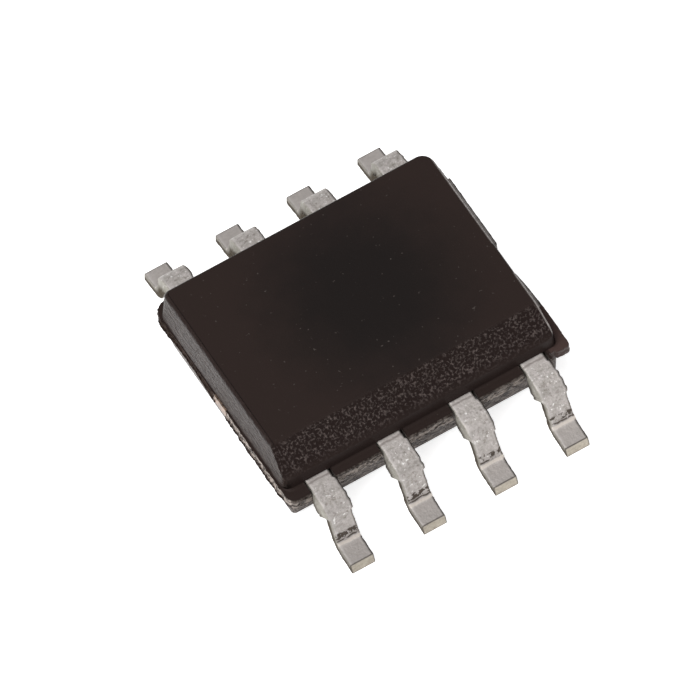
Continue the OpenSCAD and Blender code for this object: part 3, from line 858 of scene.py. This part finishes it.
def resin_finish():
    """Filled black epoxy: nearly black on the smooth faces, with rare pale grains of filler and
    a darker middle; pebbled on the bevel, where the pebbles' pale tops are a painted highlight;
    painted shade on the near wall and a painted highlight along the right end's top edge; rough
    and grey where the flash has broken. Flakes and leather follow run, the length round the body,
    so that they lie along its walls."""
    made, tree, shader, where = blank("moulding compound")
    link = tree.links.new
    cloud = use(tree, MOTTLE, where, (-1100, 200), Coarse=2500.0, Fine=40000.0, Share=0.3)
    dots = use(tree, SPECKS, where, (-1100, -50), Scale=14000.0, Level=0.70)
    grain = mark(tree, "grain", (-1600, -300))
    broken = mark(tree, "broken", (-1600, -500))

    (centre_x, centre_y), (reach_x, reach_y) = DARK_CENTRE, DARK_REACH
    oval = add(tree, "ShaderNodeMapping", (-1250, 500), Scale=(1 / reach_x, 1 / reach_y, 0.0),
               Location=(-centre_x / reach_x, -centre_y / reach_y, 0.0))
    link(where, oval.inputs["Vector"])
    far = add(tree, "ShaderNodeVectorMath", (-1080, 500), operation="LENGTH")
    link(oval.outputs["Vector"], far.inputs[0])
    drift = combine(tree, "MULTIPLY_ADD", cloud, 0.35, (-950, 500), far.outputs["Value"])
    rim = ramp(tree, drift, (-800, 500), interpolation_type="SMOOTHSTEP", From_Min=0.55, From_Max=1.9)
    smooth = two_tone(tree, rim, RESIN_MIDDLE, RESIN_RIM, (-800, 200))

    cells = noise(tree, where, (-1000, 900), Scale=25000.0, Detail=1.5, Roughness=0.6)
    pebble = ramp(tree, cells, (-800, 900), From_Min=0.50, From_Max=0.72)
    pebbles = product(tree, pebble, grain, (-600, 900))
    # Painted highlight: the pebbles' tops pale on the bevel.
    slope = two_tone(tree, pebbles, PEBBLE_LOW, PEBBLE_HIGHLIGHT, (-800, -100))

    split = add(tree, "ShaderNodeSeparateXYZ", (-1400, -1400))
    link(where, split.inputs[0])
    unrolled = add(tree, "ShaderNodeCombineXYZ", (-1200, -1400))
    link(product(tree, mark(tree, "run", (-1600, -1500)), 0.45, (-1400, -1500)), unrolled.inputs[0])
    link(split.outputs["Z"], unrolled.inputs[1])
    on_wall = unrolled.outputs[0]
    flakes = use(tree, MOTTLE, on_wall, (-1100, -450), Coarse=15000.0, Fine=38000.0, Share=0.45)
    contrast = ramp(tree, flakes, (-1000, -450), From_Min=0.36, From_Max=0.64)
    torn = product(tree, contrast, mark(tree, "pale", (-1600, -700)), (-900, -600))
    chips = two_tone(tree, torn, CHIP_DARK, CHIP_PALE, (-800, -400))
    grey_mottle = product(tree, contrast, mark(tree, "grey_mottle", (-1600, -1200)), (-900, -1200))

    # Among these coats the near wall colour is painted shade, and the pebbles' pale tops and the right
    # end's edge colour are painted highlights.
    colour = layers(tree, smooth, [(dots, FILLER), (grain, slope),
                                   (mark(tree, "near_wall", (-1600, -600)), NEAR_WALL_SHADE),
                                   (mark(tree, "edge_highlight", (-1600, -650)), RESIN_EDGE_HIGHLIGHT),
                                   (broken, chips), (grey_mottle, GREY_MOTTLE),
                                   (mark(tree, "brown", (-1600, -900)), CLEAN_BREAK)], (-600, 200))
    link(colour, shader.inputs["Base Color"])
    link(mark(tree, "dull", (0, -400)), shader.inputs["Metallic"])
    shader.inputs["Roughness"].default_value = 0.4
    shader.inputs["Specular IOR Level"].default_value = 0.2
    shader.inputs["Specular Tint"].default_value = (0.3, 0.26, 0.25, 1)

    leather = noise(tree, on_wall, (-900, -800), Scale=16000.0, Detail=3.0, Roughness=0.6)
    torn_or_wall = combine(tree, "MAXIMUM", mark(tree, "wall", (-1600, -1000)), broken, (-900, -1000))
    smooth_height = product(tree, cloud, 0.1, (-700, -800))
    rough_height = product(tree, leather, torn_or_wall, (-700, -950))
    pebble_height = product(tree, pebbles, 0.3, (-700, -1050))
    height = combine(tree, "ADD", smooth_height, rough_height, (-500, -850))
    height = combine(tree, "ADD", height, pebble_height, (-350, -850))
    relief(tree, shader, height, 4.5e-5)
    shader.location = (450, 200)
    return made


body = body_skin()
body.data.materials.append(resin_finish())
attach(body, "root")
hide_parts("body")


# ---- Floor, light and camera ----
# The chip stands on plain pale paper under two soft lamps and a white sky. The camera is far
# off with a long lens, so that lines that are parallel on the chip stay so in the picture.

PAPER = (0.93, 0.93, 0.93, 1)
PAPER_HALF = 0.4
PAPER_LIFT = 0.72
SKY_STRENGTH = 0.32
TO_CAMERA = Vector((-0.20509857, -0.50545234, 0.8381244))
RIGHT = Vector((0.86096505, -0.50043731, -0.09111357))
UPWARD = Vector((0.46548229, 0.70290855, 0.53781577))
CAMERA_AWAY = 0.31393
SENSOR, LENS = 36.0, 1051.4

floor_mesh = bpy.data.meshes.new("floor")
floor_mesh.from_pydata([(-PAPER_HALF, -PAPER_HALF, 0), (PAPER_HALF, -PAPER_HALF, 0),
                        (PAPER_HALF, PAPER_HALF, 0), (-PAPER_HALF, PAPER_HALF, 0)], [], [(0, 1, 2, 3)])
floor = bpy.data.objects.new("floor", floor_mesh)
bpy.context.scene.collection.objects.link(floor)
paper, tree, shader, where = blank("pale paper")
shader.inputs["Base Color"].default_value = PAPER
shader.inputs["Roughness"].default_value = 0.9
shader.inputs["Specular IOR Level"].default_value = 0.1
ray = add(tree, "ShaderNodeLightPath", (-600, -200)).outputs
seen = combine(tree, "MAXIMUM", ray["Is Camera Ray"], ray["Is Glossy Ray"], (-400, -200))
seen = combine(tree, "MAXIMUM", seen, ray["Is Transmission Ray"], (-250, -200))
lift = product(tree, seen, PAPER_LIFT, (-100, -200))
shader.inputs["Emission Color"].default_value = (1, 1, 1, 1)
tree.links.new(lift, shader.inputs["Emission Strength"])
floor_mesh.materials.append(paper)

world = bpy.data.worlds.new("studio")
bpy.context.scene.world = world
world.use_nodes = True
world.node_tree.nodes["Background"].inputs["Color"].default_value = (1, 1, 1, 1)
world.node_tree.nodes["Background"].inputs["Strength"].default_value = SKY_STRENGTH


def soft_box(name, place, size, power):
    """Square lamp at a place, in metres, that faces the object."""
    lamp = bpy.data.lights.new(name, "AREA")
    lamp.shape = "SQUARE"
    lamp.size = size
    lamp.energy = power
    made = bpy.data.objects.new(name, lamp)
    bpy.context.scene.collection.objects.link(made)
    made.location = place
    made.rotation_euler = (Vector((0, 0, 0.0008)) - Vector(place)).to_track_quat("-Z", "Y").to_euler()


soft_box("key", (-0.10, -0.02, 0.22), 0.2, 0.52)
soft_box("front_fill", (-0.13, -0.16, 0.14), 0.16, 0.14)

aim = (-0.252 * RIGHT + 0.1886 * UPWARD) * MM
camera_data = bpy.data.cameras.new("camera")
camera_data.sensor_width = SENSOR
camera_data.lens = LENS
camera_data.clip_start = 0.01
camera_data.clip_end = 10.0
camera = bpy.data.objects.new("camera", camera_data)
bpy.context.scene.collection.objects.link(camera)
turned = Matrix((RIGHT, UPWARD, TO_CAMERA)).transposed().to_4x4()
camera.matrix_world = Matrix.Translation(aim + TO_CAMERA * CAMERA_AWAY) @ turned
bpy.context.scene.camera = camera
bpy.context.scene.view_settings.view_transform = "Standard"
